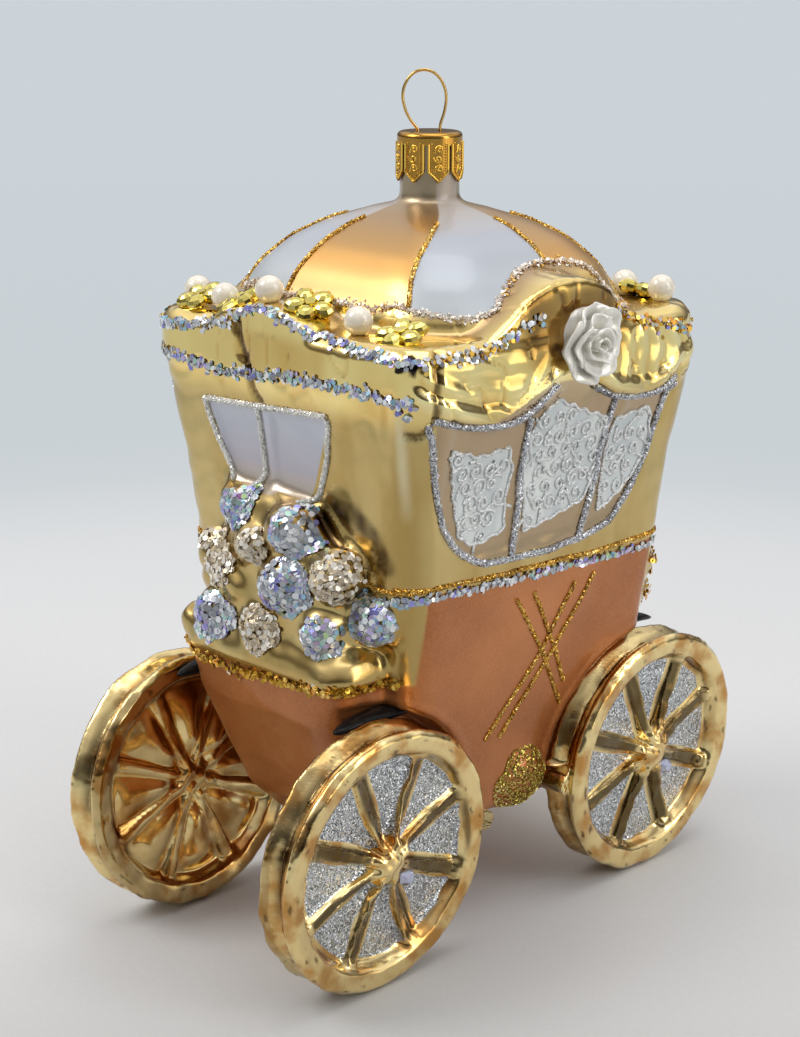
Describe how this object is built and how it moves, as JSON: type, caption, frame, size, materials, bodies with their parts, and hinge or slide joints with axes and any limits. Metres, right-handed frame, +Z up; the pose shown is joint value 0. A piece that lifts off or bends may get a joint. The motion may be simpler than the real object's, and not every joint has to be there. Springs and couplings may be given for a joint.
{
  "type": "hanging glass coach ornament",
  "caption": "Mouth-blown glass ornament shaped as a royal coach with gored dome, windows, spoked wheels, roses and pearls, hung from a crown cap and wire loop.",
  "frame": {"origin": "on the surface it stands on, midway between the wheel hubs, in the plane of symmetry", "axes": "+Z up, -Y towards the front of the coach, +X towards its left side"},
  "size_m": [0.0752, 0.1152, 0.1468],
  "materials": {
    "shell": "silvered inside, gold and copper lacquer outside",
    "wheel": "gold mirror glass",
    "glue": "black glossy adhesive",
    "cap": "embossed gold-plated sheet",
    "wire": "gold spring wire",
    "rose": "pearly white",
    "pearl": "pearl lustre",
    "bead": "gold metallised",
    "crystal": "faceted with rainbow coating"
  },
  "bodies": {
    "root": {"glass_body": "shell", "left_rose": "rose", "right_rose": "rose", "front_pearls": "pearl", "rear_pearls": "pearl", "front_flower_beads": "bead", "rear_flower_beads": "bead", "front_left_wheel": "wheel", "front_left_crystal": "crystal", "front_left_glue": "glue", "front_right_wheel": "wheel", "front_right_crystal": "crystal", "front_right_glue": "glue", "rear_left_wheel": "wheel", "rear_left_crystal": "crystal", "rear_left_glue": "glue", "rear_right_wheel": "wheel", "rear_right_crystal": "crystal", "rear_right_glue": "glue"},
    "cap": {"hanger_cap": "cap"},
    "wire": {"hanger_wire": "wire"}
  },
  "joints": [
    {"name": "cap_lift", "type": "slide", "parent": "root", "child": "cap", "axis": [0, 0, 1], "range_m": [0, 0.024]},
    {"name": "wire_slide", "type": "slide", "parent": "cap", "child": "wire", "axis": [0, 0, 1], "range_m": [0, 0.003]}
  ]
}
